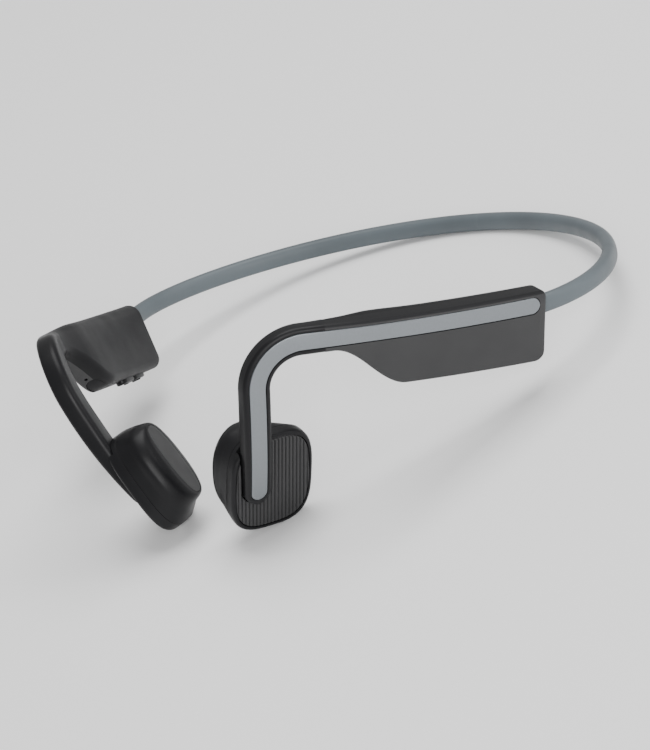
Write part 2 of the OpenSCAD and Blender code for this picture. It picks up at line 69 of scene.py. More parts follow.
# The transducers: origin of their own frame, its three turns in degrees, then the pieces' sizes in it
DRIVER_CENTRE = (20.38, -56.76, 12.74)
DRIVER_TURN, DRIVER_TILT, DRIVER_ROLL = 30.3, 17.0, 16.4
RIM_H, RIM_W, RIM_LIP, SPLIT_Z, OUTLINE_TURN = 26.0, 21.3, 1.0, -3.2, -4.0
PAD_H, PAD_W, PAD_X, PAD_Y, PAD_Z = 19.4, 8.3, -2.75, 0.9, -11.3
SHOULDER_X, SHOULDER_Y, SHOULDER_Z, HOUSING_WALL = 8.4, 11.25, -8.6, 1.1
RIM_POWER, SHOULDER_POWER = 3.2, 2.4
RIB_PITCH, RIB_TALL, RIB_TURN, FACE_Z, PLATE_GAP = 0.95, 0.4, -2.4, -0.3, 0.12
BUTTON_BACK_Z, COVER_BACK_Z = -1.3, -1.8
HOOK_BED_X, HOOK_BED_Y, HOOK_GAP, HOOK_BACK_Z = -4.6, -4.0, 0.2, -1.9

# The band leaves each pod this far up, out and ahead of the pod's rear, at BAND_FLARE degrees outwards
BAND_ROOT_UP, BAND_ROOT_OUT, BAND_ROOT_AHEAD, BAND_FLARE = -2.3, -4.8, 2.2, 47.0
BAND_W, BAND_H, BAND_REACH, BAND_REST = 3.6, 4.4, 67.3, 0.493
SIDE_PULL, REAR_PULL = 28.5, 52.0
# The core wire's and the lead's offset from the middle of the band, and their diameters, in millimetres
WIRE_OFFSET, WIRE_D, LEAD_D = 0.65, 1.3, 0.9

KEY_S, KEY_LEN, KEY_W, KEY_PROUD, KEY_GAP = (11.5, 19.2), 7.3, 3.0, 1.0, 0.3
PORT_S, PORT_N, PORT_SLOPE, MOUTH_LEN, MOUTH_W = 35.4, 0.9, 8.0, 9.3, 3.5
COVER_LEN, COVER_W, COVER_GAP, COVER_EDGE, PLUG_LEN, PLUG_W = 11.2, 4.0, 0.15, 0.25, 7.4, 2.2
LIGHT_S, LIGHT_D, MIC_S, MIC_SLOPE, MIC_N, MIC_D = 26.5, 1.3, 42.0, 33.0, 1.3, 0.9


# ---- The spine of each side: a frame carried along the pod and the hook ----

def cos(a):
    return math.cos(math.radians(a))


def sin(a):
    return math.sin(math.radians(a))


def unit(v):
    return np.asarray(v, float) / np.linalg.norm(v)


def turned(f, a, b, c):
    p, t, n, up = f
    t, up = t * cos(a) - up * sin(a), up * cos(a) + t * sin(a)
    t, n = t * cos(b) - n * sin(b), n * cos(b) + t * sin(b)
    return p, t, n * cos(c) - up * sin(c), up * cos(c) + n * sin(c)


def walk_spine():
    t = np.array((-sin(TOE_IN) * cos(POD_RISE), -cos(TOE_IN) * cos(POD_RISE), sin(POD_RISE)))
    n = np.array((cos(TOE_IN), -sin(TOE_IN), 0.0))
    b = np.cross(t, n)
    out = n * cos(POD_LEAN) - b * sin(POD_LEAN)
    up = b * cos(POD_LEAN) + n * sin(POD_LEAN)
    f = (np.array(SPINE_START), t, out, up)
    frames = [f]
    ends = np.cumsum([row[0] for row in STRETCHES])
    for i in range(math.ceil(TIP_S / SPINE_STEP)):
        row = STRETCHES[min(int(np.searchsorted(ends, i * SPINE_STEP + SPINE_STEP / 2)), 3)]
        k = SPINE_STEP / row[0] / 2
        f = turned(f, row[1] * k, row[2] * k, row[3] * k)
        f = (f[0] + f[1] * SPINE_STEP, f[1], f[2], f[3])
        f = turned(f, row[1] * k, row[2] * k, row[3] * k)
        frames.append(f)
    return frames


SPINE = walk_spine()


def spine(s):
    """Point, forward, outward and up at s millimetres along the spine, blended between steps."""
    last = len(SPINE) - 1
    x = s / SPINE_STEP
    i = min(max(int(math.floor(x)), 0), last - 1)
    u = min(max(x - i, 0.0), 1.0)
    a, b = SPINE[i], SPINE[i + 1]
    axes = [unit(a[k] * (1 - u) + b[k] * u) for k in (1, 2, 3)]
    p = a[0] * (1 - u) + b[0] * u
    if x < 0:
        p = p + axes[0] * s
    if x > last:
        p = p + axes[0] * (s - last * SPINE_STEP)
    return (p, *axes)


def mix(a, b, t):
    return a + (b - a) * t


def smooth(a, b, x):
    t = min(max((x - a) / (b - a), 0.0), 1.0)
    return t * t * (3 - 2 * t)


def drawn_in(d, r):
    """How far an edge of radius r has drawn in at distance d from the end."""
    return 0.0 if d >= r else r - math.sqrt(max(r * r - (r - d) ** 2, 0.0))


def above(s):
    return mix(POD_ABOVE, HOOK_W / 2, smooth(41, 57, s)) - drawn_in(s - REAR_S, 1.3)


def below(s):
    return mix(POD_BELOW, HOOK_W / 2, smooth(35, 54, s)) - drawn_in(s - REAR_S, 2.6)


def thick(s):
    return mix(mix(POD_THICK, HOOK_THICK, smooth(40, 60, s)), TIP_THICK, smooth(86, TIP_S, s))


def face_n(s):
    return -drawn_in(s - REAR_S, 0.7)


def back_n(s):
    return -thick(s) + drawn_in(s - REAR_S, 1.1)


def back_top_r(s):
    return mix(3.2, 2.3, smooth(30, 54, s)) * min(thick(s) / 6, 1)


def part_n(s):
    return -thick(s) / 2


def arc(h, n, r, start, steps=8):
    """A quarter circle about (h, n), anticlockwise from start degrees."""
    angles = [start + 90 * i / steps for i in range(steps + 1)]
    return [(h + r * cos(a), n + r * sin(a)) for a in angles]


def ring(s, path):
    p, _, n, up = spine(s)
    return [p + up * h + n * out for h, out in path]


# ---- Making meshes ----

def make_mesh(name, verts, faces, side=1, crease=35.0):
    """A mesh object in metres; side -1 mirrors it to the right."""
    verts = np.asarray(verts, float) * MM
    if side < 0:
        verts = verts * (-1, 1, 1)
        faces = [tuple(reversed(f)) for f in faces]
    mesh = bpy.data.meshes.new(name)
    mesh.from_pydata([tuple(v) for v in verts], [], faces)
    mesh.shade_smooth()
    mesh.set_sharp_from_angle(angle=math.radians(crease))
    obj = bpy.data.objects.new(name, mesh)
    bpy.context.scene.collection.objects.link(obj)
    return obj


def loft_faces(m, n, joined=False):
    faces = []
    for k in range(m if joined else m - 1):
        for i in range(n):
            a, b = k * n + i, k * n + (i + 1) % n
            faces.append((a, (a + n) % (m * n), (b + n) % (m * n), b))
    if not joined:
        faces.append(tuple(range(n)))
        faces.append(tuple((m - 1) * n + i for i in reversed(range(n))))
    return faces


def loft(name, rings, side=1, joined=False, crease=35.0):
    """A surface skinned over rings that run anticlockwise seen from the first ring's outer side."""
    m, n = len(rings), len(rings[0])
    return make_mesh(name, [p for r in rings for p in r], loft_faces(m, n, joined), side, crease)


def place_rings(rings, place):
    o, x, y, z = place
    return [[o + x * p[0] + y * p[1] + z * p[2] for p in r] for r in rings]


def stadium(length, width, inset, z, steps=10):
    """A plate outline with round ends, as a ring at height z."""
    r, half = width / 2 - inset, (length - width) / 2
    right = [(half + r * cos(a), r * sin(a), z) for a in np.linspace(90, -90, steps + 1)]
    left = [(-half - r * cos(a), r * sin(a), z) for a in np.linspace(-90, 90, steps + 1)]
    return right + left


def oval(hx, hy, x, y, z, power=2.6, turn=0.0, steps=120):
    ring_points = []
    for i in range(steps):
        c, s = math.cos(2 * math.pi * i / steps), -math.sin(2 * math.pi * i / steps)
        a, b = hx * math.copysign(abs(c) ** (2 / power), c), hy * math.copysign(abs(s) ** (2 / power), s)
        ring_points.append((x + a * cos(turn) - b * sin(turn), y + b * cos(turn) + a * sin(turn), z))
    return ring_points


def pill(name, place, length, width, low, high, radius, side=1, crown=0.0, steps=10):
    """A round-ended plate from low to high with a rounded upper edge and an optional crown."""
    rings = [stadium(length, width, 0.15, low, steps), stadium(length, width, 0, low + 0.15, steps)]
    rings += [stadium(length, width, radius * (1 - cos(a)), high - radius + radius * sin(a), steps)
              for a in range(0, 91, 15)]
    for k in range(1, 5):
        inset = mix(radius, width / 2 - 0.05, k / 4)
        rings.append(stadium(length, width, inset, high + crown * math.sin(math.pi / 2 * k / 4), steps))
    return loft(name, place_rings(rings, place), side)


def cut(obj, cutter):
    """Takes cutter's volume out of obj and removes it."""
    modifier = obj.modifiers.new("cut", "BOOLEAN")
    modifier.operation = "DIFFERENCE"
    modifier.solver = "EXACT"
    modifier.object = cutter
    bpy.context.view_layer.update()
    evaluated = obj.evaluated_get(bpy.context.evaluated_depsgraph_get())
    mesh = bpy.data.meshes.new_from_object(evaluated)
    obj.modifiers.clear()
    old = obj.data
    obj.data = mesh
    bpy.data.meshes.remove(old)
    cutter_mesh = cutter.data
    bpy.data.objects.remove(cutter)
    bpy.data.meshes.remove(cutter_mesh)
    mesh.shade_smooth()
    mesh.set_sharp_from_angle(angle=math.radians(35))


# ---- Places on each side ----

def on_underside(s, slope=0.0):
    p, t, n, up = spine(s)
    down = -up * cos(slope) + t * sin(slope)
    back = -t * cos(slope) - up * sin(slope)
    return p - up * below(s) + n * part_n(s), back, n, down


def shifted(place, x, y, z=0.0):
    o, ax, ay, az = place
    return o + ax * x + ay * y + az * z, ax, ay, az


def driver_place():
    level_out = np.array((cos(DRIVER_TURN), -sin(DRIVER_TURN), 0.0))
    z = level_out * cos(DRIVER_TILT) - np.array((0.0, 0.0, sin(DRIVER_TILT)))
    x0 = np.array((sin(DRIVER_TURN), cos(DRIVER_TURN), 0.0))
    y0 = np.cross(z, x0)
    x = x0 * cos(DRIVER_ROLL) - y0 * sin(DRIVER_ROLL)
    y = y0 * cos(DRIVER_ROLL) + x0 * sin(DRIVER_ROLL)
    return np.array(DRIVER_CENTRE), x, y, z


DRIVER = driver_place()


# ---- Materials ----

def new_material(name, colour, roughness, metallic=0.0, specular=0.5):
    material = bpy.data.materials.new(name)
    material.use_nodes = True
    tree = material.node_tree
    shader = tree.nodes["Principled BSDF"]
    shader.inputs["Base Color"].default_value = (*colour, 1)
    shader.inputs["Roughness"].default_value = roughness
    shader.inputs["Metallic"].default_value = metallic
    shader.inputs["Specular IOR Level"].default_value = specular
    return material, tree, shader


def add_noise(tree, scale, detail=4.0, stretch=(1, 1, 1)):
    """A noise in the object's own metres, stretched along the axes by stretch."""
    coords = tree.nodes.new("ShaderNodeTexCoord")
    mapping = tree.nodes.new("ShaderNodeMapping")
    mapping.inputs["Scale"].default_value = stretch
    noise = tree.nodes.new("ShaderNodeTexNoise")
    noise.inputs["Scale"].default_value = scale
    noise.inputs["Detail"].default_value = detail
    tree.links.new(coords.outputs["Object"], mapping.inputs["Vector"])
    tree.links.new(mapping.outputs["Vector"], noise.inputs["Vector"])
    return noise


def ramp_between(tree, source, low, high, first, second):
    ramp = tree.nodes.new("ShaderNodeValToRGB")
    ramp.color_ramp.elements[0].position = low
    ramp.color_ramp.elements[1].position = high
    ramp.color_ramp.elements[0].color = (*first, 1)
    ramp.color_ramp.elements[1].color = (*second, 1)
    tree.links.new(source, ramp.inputs["Fac"])
    return ramp


def vary_roughness(tree, shader, source, low, high):
    span = tree.nodes.new("ShaderNodeMapRange")
    span.inputs["From Min"].default_value = 0.3
    span.inputs["From Max"].default_value = 0.7
    span.inputs["To Min"].default_value = low
    span.inputs["To Max"].default_value = high
    tree.links.new(source, span.inputs["Value"])
    tree.links.new(span.outputs["Result"], shader.inputs["Roughness"])


def add_bump(tree, shader, source, distance, strength=0.5):
    bump = tree.nodes.new("ShaderNodeBump")
    bump.inputs["Distance"].default_value = distance
    bump.inputs["Strength"].default_value = strength
    tree.links.new(source, bump.inputs["Height"])
    tree.links.new(bump.outputs["Normal"], shader.inputs["Normal"])


def worn_colour(tree, shader, colour, edge, patch_scale):
    """Base colour with soft patches, and a paler rub along the convex edges."""
    patches = add_noise(tree, patch_scale, 3.0)
    dark = tuple(c * 0.9 for c in colour)
    light = tuple(min(c * 1.1, 1) for c in colour)
    base = ramp_between(tree, patches.outputs["Fac"], 0.35, 0.65, dark, light)
    geometry = tree.nodes.new("ShaderNodeNewGeometry")
    rub = ramp_between(tree, geometry.outputs["Pointiness"], 0.53, 0.62, (0, 0, 0), (1, 1, 1))
    blend = tree.nodes.new("ShaderNodeMix")
    blend.data_type = "RGBA"
    blend.inputs["B"].default_value = (*edge, 1)
    tree.links.new(base.outputs["Color"], blend.inputs["A"])
    limit = tree.nodes.new("ShaderNodeMath")
    limit.operation = "MULTIPLY"
    limit.inputs[1].default_value = 0.35
    tree.links.new(rub.outputs["Color"], limit.inputs[0])
    tree.links.new(limit.outputs["Value"], blend.inputs["Factor"])
    tree.links.new(blend.outputs["Result"], shader.inputs["Base Color"])


def paint_shade_on_upper_faces(material, colour):
    """Paints shade: turns the moulding black where its surface rolls over upwards, above the flat satin
    face, as a painted dark reflection on the rounded top.
    """
    tree = material.node_tree
    base = tree.nodes["Principled BSDF"].inputs["Base Color"]
    coords = tree.nodes.new("ShaderNodeTexCoord")
    axes = tree.nodes.new("ShaderNodeSeparateXYZ")
    tree.links.new(coords.outputs["Normal"], axes.inputs["Vector"])
    # Painted shade mask: faces whose normal points up get the near-black colour
    painted_shade_mask = ramp_between(tree, axes.outputs["Z"], 0.1, 0.35, (0, 0, 0), (1, 1, 1))
    blend = tree.nodes.new("ShaderNodeMix")
    blend.data_type = "RGBA"
    blend.inputs["B"].default_value = (*colour, 1)
    tree.links.new(base.links[0].from_socket, blend.inputs["A"])
    tree.links.new(painted_shade_mask.outputs["Color"], blend.inputs["Factor"])
    tree.links.new(blend.outputs["Result"], base)


def moulded(name, colour, edge, roughness, grain, grain_depth, specular=0.5):
    """Moulded plastic or rubber: fine spark-eroded grain, soft patches of sheen and rubbed edges."""
    material, tree, shader = new_material(name, colour, roughness[0], specular=specular)
    worn_colour(tree, shader, colour, edge, 45.0)
    fine = add_noise(tree, grain, 2.0)
    add_bump(tree, shader, fine.outputs["Fac"], grain_depth)
    vary_roughness(tree, shader, add_noise(tree, 160.0, 4.0).outputs["Fac"], *roughness)
    return material


def brushed(name, colour, roughness, metallic, stretch):
    """Metal or metal-look paint with a fine directional brush."""
    material, tree, shader = new_material(name, colour, roughness[0], metallic=metallic)
    streaks = add_noise(tree, 2500.0, 3.0, stretch)
    dark = tuple(c * 0.93 for c in colour)
    shade = ramp_between(tree, streaks.outputs["Fac"], 0.3, 0.7, dark, colour)
    tree.links.new(shade.outputs["Color"], shader.inputs["Base Color"])
    vary_roughness(tree, shader, streaks.outputs["Fac"], *roughness)
    add_bump(tree, shader, streaks.outputs["Fac"], 0.00001, 0.3)
    return material


# Colour, colour where it is rubbed, roughness from and to, grain scale and depth, specular level
MOULDINGS = {
    "pod_plastic": ((0.036, 0.036, 0.037), (0.06, 0.06, 0.06), (0.46, 0.54), 9000, 0.00002, 0.25),
    "pod_inner_plastic": ((0.01, 0.01, 0.011), (0.022, 0.022, 0.022), (0.44, 0.52), 8000, 0.000015, 0.14),
    "soft_touch": ((0.007, 0.007, 0.008), (0.018, 0.018, 0.018), (0.36, 0.44), 7000, 0.000012, 0.2),
    "ribbed_plastic": ((0.03, 0.03, 0.031), (0.06, 0.06, 0.06), (0.4, 0.5), 9000, 0.00001, 0.3),
    "band_silicone": ((0.095, 0.113, 0.124), (0.13, 0.155, 0.167), (0.42, 0.52), 6000, 0.00002, 0.35),
    "pad_silicone": ((0.035, 0.035, 0.036), (0.055, 0.055, 0.055), (0.48, 0.56), 6000, 0.000015, 0.2),
    "cover_silicone": ((0.01, 0.01, 0.011), (0.025, 0.025, 0.025), (0.48, 0.56), 6000, 0.000015, 0.15),
    "key_rubber": ((0.004, 0.004, 0.005), (0.015, 0.015, 0.015), (0.32, 0.4), 7000, 0.00001, 0.2),
    "chip": ((0.02, 0.02, 0.021), (0.05, 0.05, 0.05), (0.5, 0.6), 9000, 0.00001, 0.5),
    "ceramic": ((0.7, 0.66, 0.55), (0.75, 0.7, 0.6), (0.35, 0.45), 5000, 0.00001, 0.5),
    "board": ((0.01, 0.09, 0.05), (0.03, 0.16, 0.09), (0.2, 0.3), 3000, 0.00002, 0.5),
    "light_pipe": ((0.75, 0.78, 0.8), (0.8, 0.8, 0.8), (0.15, 0.25), 3000, 0.000005, 0.5),
}
# Colour, roughness from and to, metallic, and how the streaks stretch along each axis
METALS = {
    "strip_metal": ((0.21, 0.225, 0.24), (0.3, 0.38), 0.5, (1, 1, 1)),
    "steel": ((0.55, 0.56, 0.58), (0.25, 0.38), 1.0, (1, 0.1, 1)),
    "copper": ((0.6, 0.26, 0.12), (0.28, 0.4), 1.0, (1, 1, 0.1)),
    "brass_can": ((0.65, 0.5, 0.25), (0.25, 0.35), 1.0, (1, 1, 1)),
    "cell_foil": ((0.6, 0.61, 0.63), (0.28, 0.45), 0.9, (1, 0.3, 1)),
}
MATERIALS = {name: moulded(name, *finish) for name, finish in MOULDINGS.items()}
MATERIALS.update({name: brushed(name, *finish) for name, finish in METALS.items()})
# Painted shade: near-black on the pod moulding's upward faces, standing in for the dark reflection on its
# rounded top
paint_shade_on_upper_faces(MATERIALS["pod_plastic"], (0.008, 0.008, 0.009))
SLOTS = {row["node"]: row["material_slot"] for row in frame["record"]["subparts"]}


def finish_piece(obj, slot_name, body, *nodes):
    obj.data.materials.clear()
    obj.data.materials.append(MATERIALS[slot_name])
    if nodes:
        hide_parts(*nodes)
    if body:
        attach(obj, body)


def dress_frame_nodes():
    for name, obj in frame["nodes"].items():
        obj.data.materials.clear()
        obj.data.materials.append(MATERIALS[SLOTS[name]])


# ---- Pods ----

GROOVE_START_S = STRIP_START_S - GROOVE_GAP


def strip_half(s, gap):
    r = STRIP_W / 2 + gap
    d = min(s - STRIP_START_S, TIP_S - s) + gap
    return r if d >= r else math.sqrt(max(r * r - (r - d) ** 2, 0.0004))


def groove_path(s, face):
    r = strip_half(s, GROOVE_GAP)
    depth = 0.0 if s < GROOVE_START_S - 0.005 or s > TIP_S + GROOVE_GAP else STRIP_THICK
    lip = min(0.08, r * 0.4)
    return [(r + lip, face), (r, face - min(lip, depth)), (r, face - depth), (-r, face - depth),
            (-r, face - min(lip, depth)), (-r - lip, face)]


def front_path(s, wall, grooved=False):
    top, bottom, face = above(s) - wall, wall - below(s), face_n(s) - wall
    rt, rb = max(1.0 - wall, 0.3), max(0.9 - wall, 0.3)
    groove = groove_path(s, face) if grooved else []
    upper = [(top, part_n(s))] + arc(top - rt, face - rt, rt, 0)
    lower = arc(bottom + rb, face - rb, rb, 90) + [(bottom, part_n(s))]
    return upper + groove + lower


def back_path(s, wall):
    top, bottom, back = above(s) - wall, wall - below(s), back_n(s) + wall
    rt, rb = max(back_top_r(s) - wall, 0.3), max(1.8 - wall, 0.3) * min(thick(s) / 6, 1)
    return ([(bottom, part_n(s))] + arc(bottom + rb, back + rb, rb, 180) + arc(top - rt, back + rt, rt, 270)
            + [(top, part_n(s))])


def pressed(path, s, hollow):
    """The path pressed flat onto the parting plane, where the shell is solid."""
    return [(h, mix(part_n(s), n, hollow)) for h, n in path]


def shell_stations():
    solid = [REAR_S + 1.1 * (1 - cos(a)) for a in range(0, 91, 10)]
    groove = [GROOVE_START_S - 0.01] + [GROOVE_START_S + 2.12 * (1 - cos(a)) for a in range(0, 91, 9)]
    hollow = [0.6, 0.9] + groove + list(np.arange(3.6, CAVITY_END_S + 0.01, 0.75))
    neck = [CAVITY_END_S + 0.1] + list(np.linspace(50.8, SHELL_END_S, 8))
    return [(s, 0) for s in solid] + [(s, 1) for s in hollow] + [(s, 0) for s in neck]


def build_shell(name, path, grooved, side):
    rings = []
    for s, hollow in shell_stations():
        outer = path(s, 0.0, True) if grooved else path(s, 0.0)
        inner = pressed(path(s, SHELL_WALL), s, hollow)
        rings.append(ring(s, outer + inner[::-1]))
    return loft(name, rings, side)


def cutter_pill(place, length, width, low, high, side):
    rings = [stadium(length, width, 0, low), stadium(length, width, 0, high)]
    return loft("cutter", place_rings(rings, place), side)


def flap(name, gap, low, high, edge=0.0, steps=36):
    """A round-ended flap that follows the right pod's lower edge, its outer edge rounded by edge."""
    r, half = COVER_W / 2 + gap, COVER_LEN / 2 + gap
    rings = []
    for i in range(steps + 1):
        x = -half * cos(180 * i / steps)
        s, d = PORT_S + x, half - abs(x)
        w = r if d >= r else math.sqrt(max(r * r - (r - d) ** 2, 0.02))
        n, e = part_n(s) + PORT_N, min(edge, w / 2)
        a, b = -below(s) - low, -below(s) - high
        path = [(a, n - w), (a, n + w)]
        path += [(b + e * (1 - sin(t)), n + w - e * (1 - cos(t))) for t in (0, 30, 60, 90)]
        path += [(b + e * (1 - cos(t)), n - w + e * (1 - sin(t))) for t in (0, 30, 60, 90)]
        rings.append(ring(s, path))
    return loft(name, rings, -1)


def cut_controls(obj):
    for s in KEY_S:
        cut(obj, cutter_pill(on_underside(s), KEY_LEN + KEY_GAP, KEY_W + KEY_GAP, -2.5, 1.5, -1))
    port = shifted(on_underside(PORT_S, PORT_SLOPE), 0, PORT_N)
    cut(obj, cutter_pill(port, MOUTH_LEN, MOUTH_W, -4, 2, -1))
    cut(obj, flap("cutter", COVER_GAP, -1.1, 3))
    cut(obj, cutter_pill(on_underside(LIGHT_S), LIGHT_D + 0.01, LIGHT_D, -3, 1, -1))
    mic = shifted(on_underside(MIC_S, MIC_SLOPE), 0, MIC_N)
    cut(obj, cutter_pill(mic, MIC_D + 0.01, MIC_D, -3, 2, -1))


def build_pods():
    for name, side in (("left", 1), ("right", -1)):
        outer = build_shell(name + "_outer_shell", front_path, True, side)
        inner = build_shell(name + "_inner_shell", back_path, False, side)
        if side < 0:
            cut_controls(outer)
            cut_controls(inner)
        finish_piece(outer, "pod_plastic", name + "_side", name + "_pod_outer_shell")
        finish_piece(inner, "pod_inner_plastic", name + "_side", name + "_pod_inner_shell")


# ---- Hooks and strips ----

def hook_half(s):
    d, r = HOOK_END_S - s, HOOK_W / 2
    return r if d >= r else math.sqrt(max(r * r - (r - d) ** 2, 0.04))


def hook_path(s):
    r, t = hook_half(s), thick(s)
    rf, rb = min(1.1, r / 2), min(2.0, r / 2) * t / 5
    return ([(r, -t / 2)] + arc(r - rf, -rf, rf, 0) + groove_path(s, 0.0) + arc(rf - r, -rf, rf, 90)
            + [(-r, -t / 2)] + arc(rb - r, rb - t, rb, 180) + arc(r - rb, rb - t, rb, 270))


def build_hook(name, side):
    stations = list(np.linspace(SHELL_END_S, TIP_S - 2.2, 150))
    stations += [TIP_S - 2.1 * cos(a) for a in range(10, 91, 10)] + [TIP_S + 0.1, TIP_S + 0.14]
    stations += [HOOK_END_S - 1.4 * cos(a) for a in range(10, 91, 10)]
    hook = loft(name + "_hook", [ring(s, hook_path(s)) for s in stations], side)
    finish_piece(hook, "soft_touch", name + "_side", name + "_ear_hook")


def build_strip(name, side):
    ends = [2.0 * (1 - cos(a)) for a in range(0, 91, 9)]
    stations = [STRIP_START_S + e for e in ends] + list(np.linspace(3.6, TIP_S - 2.3, 200))
    stations += [TIP_S - e for e in reversed(ends)]
    rings = []
    for s in stations:
        r = strip_half(s, 0.0)
        lip = min(0.25, r * 0.5)
        path = [(r, -STRIP_THICK + 0.02), (r, STRIP_PROUD - lip)]
        path += [(r - lip + lip * cos(a), STRIP_PROUD - lip + lip * sin(a)) for a in (22, 45, 68, 90)]
        path += [(-r + lip - lip * sin(a), STRIP_PROUD - lip + lip * cos(a)) for a in (0, 22, 45, 68)]
        path += [(-r, STRIP_PROUD - lip), (-r, -STRIP_THICK + 0.02)]
        rings.append(ring(s, path))
    strip = loft(name + "_strip", rings, side)
    finish_piece(strip, "strip_metal", name + "_side", name + "_trim_strip")


# ---- Transducers ----

def rim_oval(inset, z):
    return oval(RIM_W / 2 - inset, RIM_H / 2 - inset, 0, 0, z, RIM_POWER, OUTLINE_TURN)


def slot_cutter(side, floor_z):
    """The hook's bed as a long round-ended block that runs off the top of the transducer."""
    width = HOOK_W + 2 * HOOK_GAP
    o, x, y, z = shifted(DRIVER, HOOK_BED_X, HOOK_BED_Y + 15, floor_z)
    return cutter_pill((o, y, -x, z), 30, width, 0, 6, side)


def build_rim(name, side):
    profile = [(0.22, SPLIT_Z + 0.02), (0.1, SPLIT_Z + 0.12), (0.02, -2.4), (0.0, -1.2)]
    profile += [(0.75 * (1 - cos(a)), -1.1 + 1.05 * sin(a)) for a in range(10, 91, 10)]
    profile += [(0.9, -0.06), (0.97, -0.1), (RIM_LIP, -0.2), (RIM_LIP, -1.5), (RIM_LIP, SPLIT_Z + 0.02)]
    rings = [rim_oval(inset, z) for inset, z in profile]
    rim = loft(name + "_rim", place_rings(rings, DRIVER), side, joined=True)
    cut(rim, slot_cutter(side, HOOK_BACK_Z))
    finish_piece(rim, "soft_touch", name + "_side", name + "_driver_rim")


def housing_side(u):
    """The housing's side from the contact pad's edge at u = 0, round the shoulder, to the rim at u = 1."""
    end_x, end_y = RIM_W / 2 - 0.12, RIM_H / 2 - 0.12
    half_way = (mix(SHOULDER_X, end_x, 0.52), mix(SHOULDER_Y, end_y, 0.52), PAD_X * 0.48, PAD_Y * 0.48)
    # Where along the side, then half width, half height, centre, depth and power of the oval there
    knots = ((0.0, PAD_W / 2 + 0.1, PAD_H / 2 + 0.1, PAD_X, PAD_Y, PAD_Z + 0.03, 2.6),
             (0.12, PAD_W / 2 + 1.5, PAD_H / 2 + 0.55, PAD_X, PAD_Y, PAD_Z + 0.25, 2.5),
             (0.25, SHOULDER_X - 1.2, SHOULDER_Y - 0.55, PAD_X, PAD_Y, PAD_Z + 1.0, SHOULDER_POWER),
             (0.42, SHOULDER_X, SHOULDER_Y, PAD_X, PAD_Y, SHOULDER_Z, SHOULDER_POWER),
             (0.7, *half_way, mix(SHOULDER_Z, SPLIT_Z, 0.5), 2.8),
             (1.0, end_x, end_y, 0, 0, SPLIT_Z - 0.02, RIM_POWER))
    at = np.array([k[0] for k in knots])
    table = np.array([k[1:] for k in knots])
    slopes = np.gradient(table, at, axis=0)
    i = min(int(np.searchsorted(at, u, side="right")) - 1, len(at) - 2)
    h = at[i + 1] - at[i]
    t = (u - at[i]) / h
    return ((2 * t ** 3 - 3 * t * t + 1) * table[i] + (t ** 3 - 2 * t * t + t) * h * slopes[i]
            + (3 * t * t - 2 * t ** 3) * table[i + 1] + (t ** 3 - t * t) * h * slopes[i + 1])


def build_housing(name, side):
    recess = [oval(PAD_W / 2 + 0.1, PAD_H / 2 + 0.1, PAD_X, PAD_Y, z) for z in (PAD_Z + 1.0, PAD_Z + 0.06)]
    outer, inner = [], []
    for u in np.linspace(0, 1, 42):
        hx, hy, x, y, z, power = housing_side(u)
        turn = OUTLINE_TURN * smooth(0.42, 1, u)
        outer.append(oval(hx, hy, x, y, z, power, turn))
        if z > PAD_Z + 1.9:
            inner.append(oval(hx - HOUSING_WALL, hy - HOUSING_WALL, x, y, z, power, turn))
    edge = [rim_oval(0.2, SPLIT_Z - 0.01), rim_oval(HOUSING_WALL + 0.1, SPLIT_Z - 0.01)]
    rings = recess + outer + edge + inner[-2::-1]
    housing = loft(name + "_housing", place_rings(rings, DRIVER), side)
    finish_piece(housing, "soft_touch", name + "_side", name + "_driver_housing")


def build_pad(name, side):
    hx, hy = PAD_W / 2, PAD_H / 2
    profile = [(0.0, PAD_Z + 0.98), (0.0, PAD_Z + 0.25)]
    profile += [(0.25 * (1 - cos(a)), PAD_Z + 0.25 - 0.25 * sin(a)) for a in range(15, 91, 15)]
    profile += [(hx * k, PAD_Z) for k in (0.3, 0.55, 0.8, 0.97)]
    rings = [oval(hx - i, hy - i, PAD_X, PAD_Y, z) for i, z in reversed(profile)]
    pad = loft(name + "_pad", place_rings(rings, DRIVER), side)
    finish_piece(pad, "pad_silicone", name + "_side", name + "_contact_pad")


PLATE_EDGE = [(x, y) for x, y, _ in rim_oval(RIM_LIP + PLATE_GAP, 0)]


def plate_span(x):
    """Lowest and highest y of the ribbed plate at x."""
    ys = []
    for (ax, ay), (bx, by) in zip(PLATE_EDGE, PLATE_EDGE[1:] + PLATE_EDGE[:1]):
        if (ax - x) * (bx - x) <= 0 and ax != bx:
            ys.append(mix(ay, by, (x - ax) / (bx - ax)))
    return min(ys), max(ys)


def rib_columns(reach, slot_r):
    columns = set(np.linspace(-reach, reach, 300))
    for edge in (HOOK_BED_X - slot_r, HOOK_BED_X + slot_r):
        columns |= {edge - 0.006, edge + 0.006}
    return sorted(columns)


def rib_height(x, y, room):
    """Height of the ribs over the plate at x, y, fading out over the last bit of room to the edge."""
    across = x * cos(RIB_TURN) + y * sin(RIB_TURN)
    phase = (across / RIB_PITCH + 0.5) % 1 - 0.5
    rib = math.sqrt(max(1 - (phase / 0.44) ** 2, 0.0)) * RIB_TALL
    near = min(max(room - 0.1, 0) / 0.7, 1)
    return rib * math.sqrt(max(1 - (1 - near) ** 2, 0.0))


def plate_top(columns, rows, reach, slot_r):
    """The ribbed surface in the transducer's own axes, column by column from low to high."""
    slot_y = HOOK_BED_Y + slot_r
    verts = []
    for x in columns:
        low, edge_high = plate_span(x)
        high = edge_high
        if abs(x - HOOK_BED_X) < slot_r:
            high = slot_y - math.sqrt(slot_r ** 2 - (x - HOOK_BED_X) ** 2)
        for j in range(rows + 1):
            y = mix(low, high, 0.5 - 0.5 * math.cos(math.pi * j / rows))
            room = min(y - low, edge_high - y, (reach - abs(x)) * 1.2)
            drop = 0.2 * (1 - min(max(room, 0) / 0.2, 1)) ** 2
            verts.append((x, y, FACE_Z - drop + rib_height(x, y, room)))
    return verts


